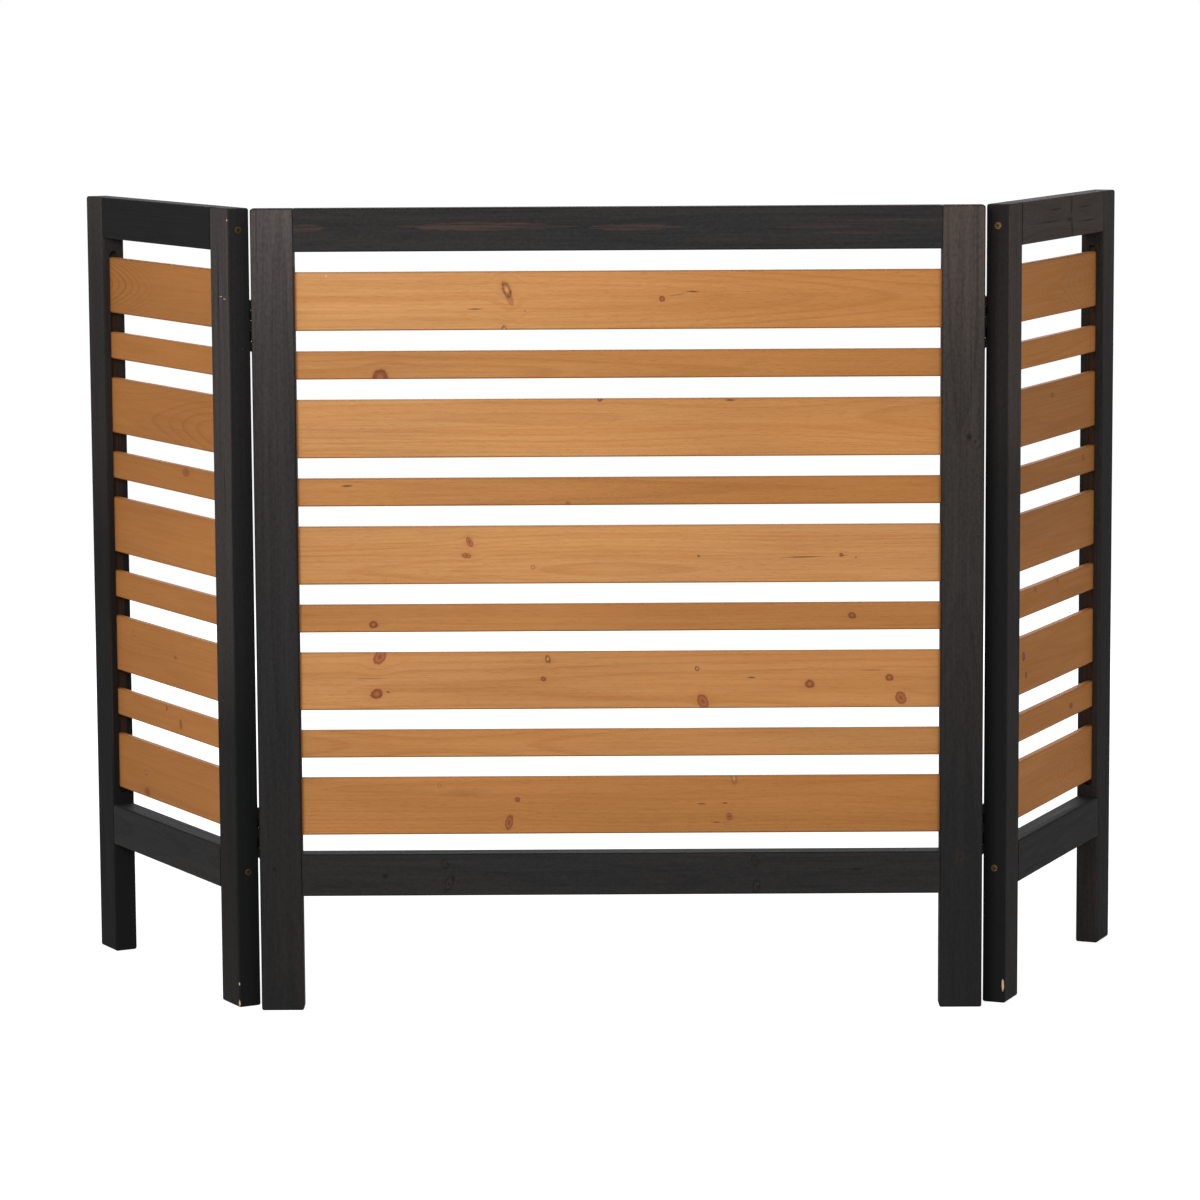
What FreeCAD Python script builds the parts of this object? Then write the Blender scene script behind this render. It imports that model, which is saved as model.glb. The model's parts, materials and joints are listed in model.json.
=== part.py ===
import FreeCAD, Part
import os
import re
import Sketcher
from FreeCAD import Placement, Rotation, Vector

# Three-panel folding garden fence, in millimetres and degrees.
# X runs along the centre panel, Y from its front to its back, Z up from the floor.

SIZES = {
    # panels
    "panel_height": 1000,
    "centre_width": 900,
    "wing_width": 448,
    # posts and rails, cut from the same stock
    "stock_width": 53,
    "stock_depth": 30,
    "edge_round": 3,
    "leg_height": 145,
    # slats
    "wide_slat": 72,
    "narrow_slat": 34.5,
    "slat_thick": 11,
    "slat_round": 2.5,
    "bottom_gap": 23,
    # groove that holds the slat ends
    "groove_depth": 10,
    "groove_slack": 0.2,
    "groove_runout": 8,
    # screws through the posts into the rails
    "rail_screw_head_radius": 4.25,
    "rail_screw_head_height": 3,
    "rail_screw_shank_radius": 2.1,
    "rail_screw_length": 90,
    "rail_screw_tip": 6,
    "rail_screw_recess_reach": 2.4,
    "rail_screw_recess_width": 1.1,
    "rail_screw_recess_depth": 1.6,
    # dowels beside those screws
    "dowel_radius": 4,
    "dowel_length": 40,
    "dowel_spread": 15,
    # brads through the back of the posts into the slats
    "brad_radius": 0.8,
    "brad_bite": 8,
    "brad_inset": 5,
    # hinges on the backs of the posts
    "hinge_length": 64,
    "upper_hinge_drop": 145,
    "lower_hinge_rise": 220,
    "hinge_gap": 1.2,
    "leaf_width": 21,
    "leaf_thick": 1.2,
    "barrel_radius": 2.5,
    "barrel_clearance": 0.5,
    "knuckle_slack": 0.3,
    "pin_radius": 1.25,
    "pin_slack": 0.05,
    "pin_cap_radius": 2.2,
    "pin_cap_thick": 0.8,
    # screws in the hinge leaves
    "hinge_screw_head_radius": 2.7,
    "hinge_screw_head_height": 1.2,
    "hinge_screw_shank_radius": 1.5,
    "hinge_screw_length": 16,
    "hinge_screw_tip": 3,
    "hinge_screw_recess_reach": 1.6,
    "hinge_screw_recess_width": 0.7,
    "hinge_screw_recess_depth": 0.8,
    # play left around a fastener in its hole, and how far a cut runs past a face
    "fastener_slack": 0.05,
    "overrun": 2,
}

# how far each wing is folded back, from in line with the centre panel
ANGLES = {
    "left_fold_degrees": 61,
    "right_fold_degrees": 67,
}

SLAT_COUNT = 9
KNUCKLE_COUNT = 5
FIXED_KNUCKLES = (0, 2, 4)
MOVING_KNUCKLES = (1, 3)
SCREW_TIP_SHARE = 0.3
# holes of a leaf: along the hinge from its middle, and across the leaf from the pin
LEAF_HOLE_SHARES = ((-0.36, 0.72), (0, 0.46), (0.36, 0.72))

HEADINGS = {
    "+x": Rotation(Vector(0, 1, 0), 90),
    "-x": Rotation(Vector(0, 1, 0), -90),
    "-y": Rotation(Vector(1, 0, 0), 90),
    "+z": Rotation(),
}

doc = FreeCAD.newDocument("GardenFence")
sheet = doc.addObject("Spreadsheet::Sheet", "Sizes")
CELLS = SIZES | ANGLES
for row, (alias, value) in enumerate(CELLS.items(), start=1):
    sheet.set(f"A{row}", alias)
    sheet.set(f"B{row}", str(value))
    sheet.setAlias(f"B{row}", alias)
doc.recompute()

ALIAS_PATTERN = re.compile(r"\b(" + "|".join(CELLS) + r")\b")
nodes = []


# Rules: sizes written with the sheet's aliases


def bind(thing, rules):
    """Tie each property of a thing to its rule, a sum written with the sheet's aliases."""
    for path, rule in rules.items():
        thing.setExpression(path, ALIAS_PATTERN.sub(r"Sizes.\1", rule))


def bind_place(thing, x="0", y="0", z="0"):
    bind(thing, {"Placement.Base.x": x, "Placement.Base.y": y, "Placement.Base.z": z})


PIN_OUT = "(hinge_gap / 2)"
PIN_BACK = "(stock_depth + barrel_radius)"
PIN_FROM_MIDDLE = f"(centre_width / 2 + {PIN_OUT})"


def wing_reach(fold):
    """Distance from the centre panel's middle to the outermost corner of a wing, along X."""
    along = f"({PIN_OUT} + wing_width - edge_round) * cos({fold})"
    across = f"({PIN_BACK} - edge_round) * sin({fold})"
    return f"({PIN_FROM_MIDDLE} + {along} + {across} + edge_round)"


def wing_depth(fold):
    """Distance from the centre panel's front to the rearmost corner of a wing, along Y."""
    along = f"({PIN_OUT} + wing_width - edge_round) * sin({fold})"
    across = f"(barrel_radius + edge_round) * cos({fold})"
    return f"({PIN_BACK} + {along} - {across} + edge_round)"


# The origin is the middle of the whole part's footprint
MIDDLE_X = f"(({wing_reach('left_fold_degrees')} - {wing_reach('right_fold_degrees')}) / 2)"
FRONT_Y = f"(0 - max({wing_depth('left_fold_degrees')}; {wing_depth('right_fold_degrees')}) / 2)"


class Panel:
    """One panel in its own frame: X from 0 to its width, Y from front to back, Z up."""

    def __init__(self, name, width, post_names, base_x, base_y, turn):
        self.name = name
        self.width = width
        self.post_names = post_names
        self.base_x = base_x
        self.base_y = base_y
        self.turn = turn
        self.hinge_screws = []
        self.hinge_cuts = {"low": [], "high": []}


def centre_panel():
    return Panel(
        "centre", "centre_width", ("left_post", "right_post"),
        base_x=f"{MIDDLE_X} - centre_width / 2",
        base_y=FRONT_Y,
        turn="0",
    )


def left_wing():
    along = f"(wing_width + {PIN_OUT})"
    fold = "left_fold_degrees"
    return Panel(
        "left_wing", "wing_width", ("outer_post", "hinge_post"),
        base_x=f"{MIDDLE_X} - {PIN_FROM_MIDDLE} - cos({fold}) * {along} - sin({fold}) * {PIN_BACK}",
        base_y=f"{FRONT_Y} + {PIN_BACK} + sin({fold}) * {along} - cos({fold}) * {PIN_BACK}",
        turn=f"0 - {fold}",
    )


def right_wing():
    fold = "right_fold_degrees"
    return Panel(
        "right_wing", "wing_width", ("hinge_post", "outer_post"),
        base_x=f"{MIDDLE_X} + {PIN_FROM_MIDDLE} + cos({fold}) * {PIN_OUT} + sin({fold}) * {PIN_BACK}",
        base_y=f"{FRONT_Y} + {PIN_BACK} + sin({fold}) * {PIN_OUT} - cos({fold}) * {PIN_BACK}",
        turn=fold,
    )


# Simple solids


def box(label, sizes, place):
    solid = doc.addObject("Part::Box", label)
    bind(solid, dict(zip(("Length", "Width", "Height"), sizes)))
    bind_place(solid, *place)
    return solid


def cylinder(label, radius, length, place, heading="+z"):
    solid = doc.addObject("Part::Cylinder", label)
    solid.Placement = Placement(Vector(), HEADINGS[heading])
    bind(solid, {"Radius": radius, "Height": length})
    bind_place(solid, *place)
    return solid


def cone(label, start_radius, end_radius, length, place):
    solid = doc.addObject("Part::Cone", label)
    bind(solid, {"Radius1": start_radius, "Radius2": end_radius, "Height": length})
    bind_place(solid, *place)
    return solid


def fuse(label, solids):
    joined = doc.addObject("Part::MultiFuse", label)
    joined.Shapes = solids
    return joined


def cut(label, base, tools):
    rest = doc.addObject("Part::Cut", label)
    rest.Base = base
    rest.Tool = fuse(label + "_cuts", tools) if len(tools) > 1 else tools[0]
    return rest


def head_for(solid, place, heading):
    """Turn a solid made along Z, from 0, to its heading and set it at its place."""
    solid.Placement = Placement(Vector(), HEADINGS[heading])
    bind_place(solid, *place)
    return solid


def keep(piece, node_name, panel):
    """Name a finished piece and stand it where its panel stands."""
    piece.Label = node_name
    piece.Placement = Placement(Vector(), Rotation(Vector(0, 0, 1), 1))
    bind_place(piece, panel.base_x, panel.base_y)
    bind(piece, {"Placement.Rotation.Angle": panel.turn})
    nodes.append(piece)
    return piece


def keep_group(pieces, node_name, panel):
    group = doc.addObject("Part::Compound", node_name + "_group")
    group.Links = pieces
    return keep(group, node_name, panel)


# Timber with rounded edges


def rectangle_sketch(body, label, length, depth):
    plane = next(item for item in body.Origin.OriginFeatures if item.Role == "XY_Plane")
    sketch = body.newObject("Sketcher::SketchObject", label)
    sketch.AttachmentSupport = [(plane, "")]
    sketch.MapMode = "FlatFace"
    corners = [Vector(0, 0, 0), Vector(1, 0, 0), Vector(1, 1, 0), Vector(0, 1, 0)]
    for index, corner in enumerate(corners):
        sketch.addGeometry(Part.LineSegment(corner, corners[(index + 1) % len(corners)]), False)
    for index in range(len(corners)):
        sketch.addConstraint(Sketcher.Constraint("Coincident", index, 2, (index + 1) % len(corners), 1))
        sketch.addConstraint(Sketcher.Constraint("Horizontal" if index % 2 == 0 else "Vertical", index))
    sketch.addConstraint(Sketcher.Constraint("Coincident", 0, 1, -1, 1))
    for kind, line, name in (("DistanceX", 0, "length"), ("DistanceY", 1, "depth")):
        number = sketch.addConstraint(Sketcher.Constraint(kind, line, 1, line, 2, 1))
        sketch.renameConstraint(number, name)
    bind(sketch, {"Constraints.length": length, "Constraints.depth": depth})
    return sketch


def long_edge_names(shape, direction):
    """Names of the straight edges that run along a direction, or of all edges without one."""
    names = []
    for number, edge in enumerate(shape.Edges, start=1):
        if direction is None or abs(edge.tangentAt(edge.FirstParameter).dot(direction)) > 0.5:
            names.append(f"Edge{number}")
    return names


def timber(label, sizes, place, round_rule, rounded_along=None):
    """A padded length of timber, its edges rounded, set in its panel's frame."""
    length, depth, height = sizes
    body = doc.addObject("PartDesign::Body", label + "_timber")
    sketch = rectangle_sketch(body, label + "_section", length, depth)
    pad = body.newObject("PartDesign::Pad", label + "_pad")
    pad.Profile = sketch
    bind(pad, {"Length": height})
    doc.recompute()
    rounding = body.newObject("PartDesign::Fillet", label + "_rounding")
    rounding.Base = (pad, long_edge_names(pad.Shape, rounded_along))
    bind(rounding, {"Radius": round_rule})
    bind_place(body, *place)
    return body


# Fasteners


def screw(label, kind, place, heading):
    """A countersunk cross-head screw, its head's face at its place."""
    head_height, shank = f"{kind}_head_height", f"{kind}_shank_radius"
    shank_length = f"{kind}_length - {kind}_head_height - {kind}_tip"
    tip_start = f"{kind}_length - {kind}_tip"
    reach, width, depth = (f"{kind}_recess_{part}" for part in ("reach", "width", "depth"))
    blank = fuse(label + "_blank", [
        cone(label + "_head", f"{kind}_head_radius", shank, head_height, ("0", "0", "0")),
        cylinder(label + "_shank", shank, shank_length, ("0", "0", head_height)),
        cone(label + "_tip", shank, f"{shank} * {SCREW_TIP_SHARE}", f"{kind}_tip", ("0", "0", tip_start)),
    ])
    below = "0 - overrun"
    arms = [
        box(label + "_arm_a", (f"2 * {reach}", width, f"{depth} + overrun"),
            (f"0 - {reach}", f"0 - {width} / 2", below)),
        box(label + "_arm_b", (width, f"2 * {reach}", f"{depth} + overrun"),
            (f"0 - {width} / 2", f"0 - {reach}", below)),
    ]
    return head_for(cut(label, blank, arms), place, heading)


def screw_hole(label, kind, place, heading):
    """The hole for such a screw, with its countersink."""
    head = f"{kind}_head_radius + fastener_slack"
    shank = f"{kind}_shank_radius + fastener_slack"
    hole = fuse(label, [
        cone(label + "_sink", head, shank, f"{kind}_head_height", ("0", "0", "0")),
        cylinder(label + "_bore", shank, f"{kind}_length + fastener_slack", ("0", "0", "0")),
    ])
    return head_for(hole, place, heading)


class Cuts(dict):
    """Cutting solids, listed by the piece that they cut."""

    def __missing__(self, piece_name):
        self[piece_name] = []
        return self[piece_name]


# Panels


def slat_rules():
    """Height and lower edge of each slat, from the top down, with even gaps above the bottom one."""
    heights = ["wide_slat" if index % 2 == 0 else "narrow_slat" for index in range(SLAT_COUNT)]
    opening = "(panel_height - 2 * stock_width - leg_height)"
    slat_gap = f"({opening} - ({' + '.join(heights)}) - bottom_gap) / {SLAT_COUNT}"
    rules = []
    lower = "panel_height - stock_width"
    for height in heights:
        lower = f"{lower} - {slat_gap} - {height}"
        rules.append((height, lower))
    return rules


RAIL_RULES = (("top_rail", "panel_height - stock_width"), ("bottom_rail", "leg_height"))
HINGE_RULES = (("upper", "panel_height - upper_hinge_drop"), ("lower", "lower_hinge_rise"))


def post_sides(panel):
    """For each post: its name, side, lower X, inner face, inward sign, outer face and inward heading."""
    low_post, high_post = panel.post_names
    return (
        (low_post, "low", "0", "stock_width", "+", "0", "+x"),
        (high_post, "high", f"{panel.width} - stock_width", f"{panel.width} - stock_width", "-",
         panel.width, "-x"),
    )


def rail_joints(panel, cuts):
    """Screws and dowels at the four rail ends."""
    screws, dowels = [], []
    mid_depth = "stock_depth / 2"
    for post_name, side, low_x, inner_x, inward, outer_x, heading in post_sides(panel):
        outward = "-" if inward == "+" else "+"
        for rail_name, rail_z in RAIL_RULES:
            joint = f"{panel.name}_{rail_name}_{side}"
            mid_z = f"{rail_z} + stock_width / 2"
            screws.append(screw(joint + "_screw", "rail_screw", (outer_x, mid_depth, mid_z), heading))
            holes = [screw_hole(joint + "_screw_hole", "rail_screw", (outer_x, mid_depth, mid_z), heading)]
            start_x = f"{inner_x} {outward} dowel_length / 2"
            for sign in "+-":
                dowel = f"{joint}_dowel_{'upper' if sign == '+' else 'lower'}"
                dowel_z = f"{mid_z} {sign} dowel_spread"
                dowels.append(cylinder(dowel, "dowel_radius", "dowel_length",
                                       (start_x, mid_depth, dowel_z), heading))
                hole_x = f"{start_x} {outward} fastener_slack"
                holes.append(cylinder(dowel + "_hole", "dowel_radius + fastener_slack",
                                      "dowel_length + 2 * fastener_slack",
                                      (hole_x, mid_depth, dowel_z), heading))
            cuts[post_name].extend(holes)
            cuts[rail_name].extend(holes)
    keep_group(screws, panel.name + "_rail_screws", panel)
    keep_group(dowels, panel.name + "_dowels", panel)


def slat_brads(panel, cuts):
    """A brad through the back of a post into each slat end."""
    brads = []
    back_wall = "(stock_depth - slat_thick) / 2"
    for post_name, side, low_x, inner_x, inward, outer_x, heading in post_sides(panel):
        outward = "-" if inward == "+" else "+"
        for index, (height, lower) in enumerate(slat_rules(), start=1):
            label = f"{panel.name}_{side}_brad_{index}"
            place = (f"{inner_x} {outward} brad_inset", "stock_depth", f"{lower} + {height} / 2")
            brads.append(cylinder(label, "brad_radius", f"{back_wall} + brad_bite", place, "-y"))
            hole = cylinder(label + "_hole", "brad_radius + fastener_slack",
                            f"{back_wall} + brad_bite + fastener_slack", place, "-y")
            cuts[post_name].append(hole)
            cuts[f"slat_{index}"].append(hole)
    keep_group(brads, panel.name + "_brads", panel)


def groove(panel, side, inner_x, inward):
    """The stopped groove in a post's inner edge, with its round router ends."""
    label = f"{panel.name}_{side}_groove"
    width = "slat_thick + 2 * groove_slack"
    radius = f"({width}) / 2"
    (top_height, top_lower), (last_height, last_lower) = slat_rules()[0], slat_rules()[-1]
    top_end = f"{top_lower} + {top_height} + groove_runout - {radius}"
    low_end = f"{last_lower} - groove_runout + {radius}"
    start_x = f"{inner_x} - groove_depth" if inward == "+" else f"{inner_x} - overrun"
    length = "groove_depth + overrun"
    mid_depth = "stock_depth / 2"
    return fuse(label, [
        box(label + "_run", (length, width, f"{top_end} - ({low_end})"),
            (start_x, f"{mid_depth} - {radius}", low_end)),
        cylinder(label + "_top", radius, length, (start_x, mid_depth, top_end), "+x"),
        cylinder(label + "_low", radius, length, (start_x, mid_depth, low_end), "+x"),
    ])


def posts(panel, cuts):
    for post_name, side, low_x, inner_x, inward, outer_x, heading in post_sides(panel):
        label = f"{panel.name}_{post_name}"
        body = timber(label, ("stock_width", "stock_depth", "panel_height"), (low_x, "0", "0"), "edge_round")
        tools = [groove(panel, side, inner_x, inward)] + cuts[post_name] + panel.hinge_cuts[side]
        keep(cut(label, body, tools), label, panel)


def rails(panel, cuts):
    length = f"{panel.width} - 2 * stock_width"
    for rail_name, rail_z in RAIL_RULES:
        label = f"{panel.name}_{rail_name}"
        body = timber(label, (length, "stock_depth", "stock_width"), ("stock_width", "0", rail_z),
                      "edge_round", Vector(1, 0, 0))
        keep(cut(label, body, cuts[rail_name]), label, panel)


def slats(panel, cuts):
    reach = "groove_depth - groove_slack"
    length = f"{panel.width} - 2 * stock_width + 2 * ({reach})"
    front = "(stock_depth - slat_thick) / 2"
    for index, (height, lower) in enumerate(slat_rules(), start=1):
        label = f"{panel.name}_slat_{index}"
        body = timber(label, (length, "slat_thick", height), (f"stock_width - ({reach})", front, lower),
                      "slat_round", Vector(1, 0, 0))
        keep(cut(label, body, cuts[f"slat_{index}"]), label, panel)


# Hinges


def hinge_leaf(node_name, panel, side, mid_z, knuckles):
    """One leaf on the back of a post, with its knuckles and its three screws."""
    pin_x = f"0 - {PIN_OUT}" if side == "low" else f"{panel.width} + {PIN_OUT}"
    sign = "+" if side == "low" else "-"
    foot = f"{mid_z} - hinge_length / 2"
    clear = "barrel_radius + barrel_clearance"
    plate_length = f"leaf_width - ({clear})"
    plate_x = f"{pin_x} + {clear}" if side == "low" else f"{pin_x} - leaf_width"
    solids = [box(node_name + "_plate", (plate_length, "leaf_thick", "hinge_length"),
                  (plate_x, "stock_depth", foot))]
    pitch = f"hinge_length / {KNUCKLE_COUNT}"
    for index in knuckles:
        knuckle_z = f"{foot} + {index} * {pitch} + knuckle_slack / 2"
        knuckle_length = f"{pitch} - knuckle_slack"
        solids.append(cylinder(f"{node_name}_knuckle_{index}", "barrel_radius", knuckle_length,
                               (pin_x, PIN_BACK, knuckle_z)))
        web_x = pin_x if side == "low" else f"{pin_x} - ({clear})"
        solids.append(box(f"{node_name}_web_{index}", (clear, "leaf_thick", knuckle_length),
                          (web_x, "stock_depth", knuckle_z)))
    holes = [cylinder(node_name + "_bore", "pin_radius + pin_slack", "hinge_length", (pin_x, PIN_BACK, foot))]
    for number, (height_share, across_share) in enumerate(LEAF_HOLE_SHARES, start=1):
        label = f"{node_name}_screw_{number}"
        place = (f"{pin_x} {sign} leaf_width * {across_share}", "stock_depth + leaf_thick",
                 f"{mid_z} + hinge_length * ({height_share})")
        hole = screw_hole(label + "_hole", "hinge_screw", place, "-y")
        holes.append(hole)
        panel.hinge_cuts[side].append(hole)
        panel.hinge_screws.append(screw(label, "hinge_screw", place, "-y"))
    keep(cut(node_name, fuse(node_name + "_blank", solids), holes), node_name, panel)


def hinge_pin(label, pin_x, mid_z):
    """A pin with a flat cap at each end, which keeps it in the barrel."""
    foot = f"{mid_z} - hinge_length / 2"
    return fuse(label, [
        cylinder(label + "_rod", "pin_radius", "hinge_length", (pin_x, PIN_BACK, foot)),
        cylinder(label + "_top_cap", "pin_cap_radius", "pin_cap_thick",
                 (pin_x, PIN_BACK, f"{foot} + hinge_length")),
        cylinder(label + "_low_cap", "pin_cap_radius", "pin_cap_thick",
                 (pin_x, PIN_BACK, f"{foot} - pin_cap_thick")),
    ])


def hinges(centre, left, right):
    pins = []
    for wing, centre_side, wing_side in ((left, "low", "high"), (right, "high", "low")):
        pin_x = f"0 - {PIN_OUT}" if centre_side == "low" else f"centre_width + {PIN_OUT}"
        side_name = wing.name.split("_")[0]
        for level, mid_z in HINGE_RULES:
            hinge = f"{level}_{side_name}_hinge"
            hinge_leaf(hinge + "_fixed_leaf", centre, centre_side, mid_z, FIXED_KNUCKLES)
            hinge_leaf(hinge + "_moving_leaf", wing, wing_side, mid_z, MOVING_KNUCKLES)
            pins.append(hinge_pin(hinge + "_pin", pin_x, mid_z))
    keep_group(pins, "hinge_pins", centre)


def build():
    panels = (centre_panel(), left_wing(), right_wing())
    hinges(*panels)
    for panel in panels:
        cuts = Cuts()
        rail_joints(panel, cuts)
        slat_brads(panel, cuts)
        posts(panel, cuts)
        rails(panel, cuts)
        slats(panel, cuts)
        keep_group(panel.hinge_screws, panel.name + "_hinge_screws", panel)
    doc.recompute()


def write_steps():
    for thing in doc.Objects:
        if "Invalid" in thing.State or "Error" in thing.State:
            raise RuntimeError(f"{thing.Label} did not build: {thing.State}")
    os.makedirs("parts", exist_ok=True)
    for node in nodes:
        if node.Shape.isNull() or not node.Shape.isValid():
            raise RuntimeError(f"{node.Label} has no valid shape")
        node.Shape.exportStep(f"parts/{node.Label}.step")


build()
write_steps()
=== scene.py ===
"""Looks of the garden fence: a folding timber screen of three panels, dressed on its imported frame.

Every piece of the fence is a solid of the frame. This script gives each of them its material,
and adds the camera, the floor, the white surround and the lights. Lengths are in metres.
"""

import json
import math

import bpy
from mathutils import Matrix, Vector

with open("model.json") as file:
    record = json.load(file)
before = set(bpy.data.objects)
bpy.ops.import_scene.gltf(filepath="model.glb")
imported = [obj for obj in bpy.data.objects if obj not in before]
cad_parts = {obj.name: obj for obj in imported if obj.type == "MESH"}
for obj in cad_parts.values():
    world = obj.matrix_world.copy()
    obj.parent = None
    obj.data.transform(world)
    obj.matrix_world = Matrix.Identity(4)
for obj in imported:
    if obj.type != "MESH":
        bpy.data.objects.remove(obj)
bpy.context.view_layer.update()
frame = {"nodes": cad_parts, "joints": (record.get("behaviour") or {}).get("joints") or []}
nodes = frame["nodes"]
scene = bpy.context.scene

# Camera, as fitted to the edges of the photographed boards
CAMERA_PLACE = Vector((0.01114, -5.77637, 1.24858))
CAMERA_YAW = math.radians(-0.155)
CAMERA_PITCH = math.radians(7.514)
CAMERA_ROLL = math.radians(-0.325)
CAMERA_LENS = 136.03
CAMERA_SENSOR = 36.0

# Surround and lights
WHITE = (1.0, 1.0, 1.0, 1.0)
AMBIENT_STRENGTH = 0.30
FLOOR_SIZE = 60.0
FLOOR_COLOUR = (0.60, 0.60, 0.60, 1.0)
FLOOR_GLOW = 0.85
LOOK_AT = Vector((0.0, -0.15, 0.55))
KEY_PLACE = Vector((-1.1, -3.0, 1.75))
KEY_SIZE = (1.5, 1.1)
KEY_POWER = 56.0
FILL_PLACE = Vector((1.5, -3.5, 1.3))
FILL_SIZE = (2.4, 2.0)
FILL_POWER = 22.0
BACK_PLACE = Vector((0.2, 3.4, 1.6))
BACK_SIZE = (2.6, 1.6)
BACK_POWER = 48.0

# Stains, metals and the painted light and shade on them, as linear colours
SLAT_DEEP = (0.507, 0.208, 0.057, 1.0)
# Paler slat colour: the wood's own paler tone, and a painted sheen towards the upper left
SLAT_PALE_AND_SHEEN = (0.650, 0.335, 0.135, 1.0)
SLAT_RING = (0.365, 0.128, 0.026, 1.0)
SLAT_FIBRE = (0.450, 0.172, 0.041, 1.0)
# Darker slat colour for painted shade on the lower rounded edges, and painted shade with stain at the ends
SLAT_SHADE_AND_STAIN = (0.330, 0.112, 0.022, 1.0)
KNOT_RED = (0.288, 0.080, 0.030, 1.0)
KNOT_PALE = (0.610, 0.305, 0.110, 1.0)
KNOT_DARK = (0.060, 0.019, 0.010, 1.0)
STREAK_BROWN = (0.100, 0.026, 0.009, 1.0)
FRAME_DARK = (0.0102, 0.0110, 0.0114, 1.0)
FRAME_WORN = (0.0380, 0.0370, 0.0370, 1.0)
# Lighter stains: on posts a painted highlight towards the top where the light falls, on faded boards all
# over
FRAME_FADE_AND_HIGHLIGHT = (0.1060, 0.0910, 0.0870, 1.0)
FRAME_BROWN_FADE_AND_HIGHLIGHT = (0.1060, 0.0840, 0.0730, 1.0)
FRAME_BROWN = (0.105, 0.060, 0.048, 1.0)
FRAME_WARM = (0.0440, 0.0395, 0.0375, 1.0)
# Bare wood of the grooves, darkened with painted shade
SHADED_GROOVE_WOOD = (0.060, 0.036, 0.024, 1.0)
CHIP_WOOD = (0.720, 0.520, 0.330, 1.0)
SPECK_DUST = (0.200, 0.185, 0.165, 1.0)
BARE_WOOD = (0.620, 0.420, 0.230, 1.0)
BARE_RING = (0.430, 0.250, 0.110, 1.0)
ZINC_YELLOW = (0.200, 0.130, 0.045, 1.0)
ZINC_BROWN = (0.055, 0.032, 0.012, 1.0)
# Painted shade in the screws' recesses
ZINC_RECESS_SHADE = (0.008, 0.006, 0.004, 1.0)
BRONZE_DARK = (0.034, 0.030, 0.022, 1.0)
BRONZE_WORN = (0.085, 0.074, 0.050, 1.0)
# Bright metal on the fixed leaves' knuckles, a painted glint
BRONZE_GLINT = (0.560, 0.540, 0.440, 1.0)
STEEL_BRIGHT = (0.560, 0.550, 0.530, 1.0)
STEEL_DULL = (0.300, 0.295, 0.285, 1.0)

# Pieces that repeat, with the posts of each panel from left to right
SLATS_PER_PANEL = 9
PANELS = ("centre", "left_wing", "right_wing")
POSTS = {
    "centre": ("centre_left_post", "centre_right_post"),
    "left_wing": ("left_wing_outer_post", "left_wing_hinge_post"),
    "right_wing": ("right_wing_hinge_post", "right_wing_outer_post"),
}

# Small features of the boards and of the metal
GROOVE_WIDTH = 0.0114
GROOVE_DEPTH = 0.0100
GROOVE_MARGIN = 0.0003
# Reach of the painted shade, with gathered stain, at a slat's ends by the posts
END_SHADE_AND_STAIN = 0.0040
SPECKS_PER_METRE = 40.0
SPECK_RADIUS = 0.0007
BARREL_RADIUS = 0.0025
KNUCKLE_REACH_SHARES = (1.3, 1.05)
# Reach of the painted shade in the screws' recesses
RECESS_SHADE_REACH = 0.0020

# Depth of the fine relief on each kind of surface
SLAT_RELIEF = 0.0003
FRAME_RELIEF = 0.00035
METAL_RELIEF = 0.00008
ZINC_RELIEF = 0.00015
BRONZE_RELIEF = 0.00005
DOWEL_RELIEF = 0.0002

# How fine each pattern is, per metre: along a board, through its depth and across it, or the same all ways
PATTERN_SCALES = {
    "wander": (1.9, 7.0, 9.0),
    "ripple": (5.0, 45.0, 45.0),
    "fibre": (6.5, 460.0, 460.0),
    "blotch": (2.6, 12.0, 14.0),
    "band": (2.2, 60.0, 75.0),
    "pores": (75.0, 1500.0, 1500.0),
    "mottle": (170.0, 260.0, 260.0),
    "sway": (16.0, 1.0, 90.0),
    "tongue": (42.0, 1.0, 520.0),
}
DOWEL_SCALES = (260.0, 260.0, 30.0)
KNOT_SCALE = 210.0
STREAK_SCALE = 260.0
CHIP_SCALE = 420.0
ZINC_CLOUD_SCALE = 420.0
BRONZE_CLOUD_SCALE = 600.0
BRONZE_GRIT_SCALE = 2200.0
STEEL_CLOUD_SCALE = 300.0
GRIT_SCALE_SHARE = 9.0

# How far the rings wander and ripple, how far a flame sways, and how far apart two boards' patterns lie
RING_WANDER = 0.012
RING_RIPPLE = 0.0012
FLAME_SWAY = 0.006
SEED_STEP = (13.7, 7.1, 3.9)
SLAT_SEED_SHARE = 1.37

# How the grain runs in a slat: middle values, how far they differ from slat to slat, and at what pace
SLAT_PITH_DEPTH = 0.026
SLAT_PITH_DEPTH_SPREAD = 0.010
SLAT_PITH_ACROSS_SHARE = 0.6
SLAT_TAPER_SHARE = 0.012
SLAT_RING_SPACING = 0.0050
SLAT_RING_SPACING_SPREAD = 0.0012
SLAT_SWELL_PLACE_SHARE = 0.8
SLAT_SWELL_LENGTH = 0.16
SLAT_SWELL_LENGTH_SPREAD = 0.06
SLAT_SWELL_SPREAD = 0.008
SLAT_PACES = {
    "pith_depth": 1.7,
    "pith_across": 2.3,
    "taper": 3.1,
    "spacing": 1.1,
    "swell_place": 5.0,
    "swell_length": 4.0,
    "swell": 2.0,
}
ARCH_PITH_DEPTH = 0.018

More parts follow.
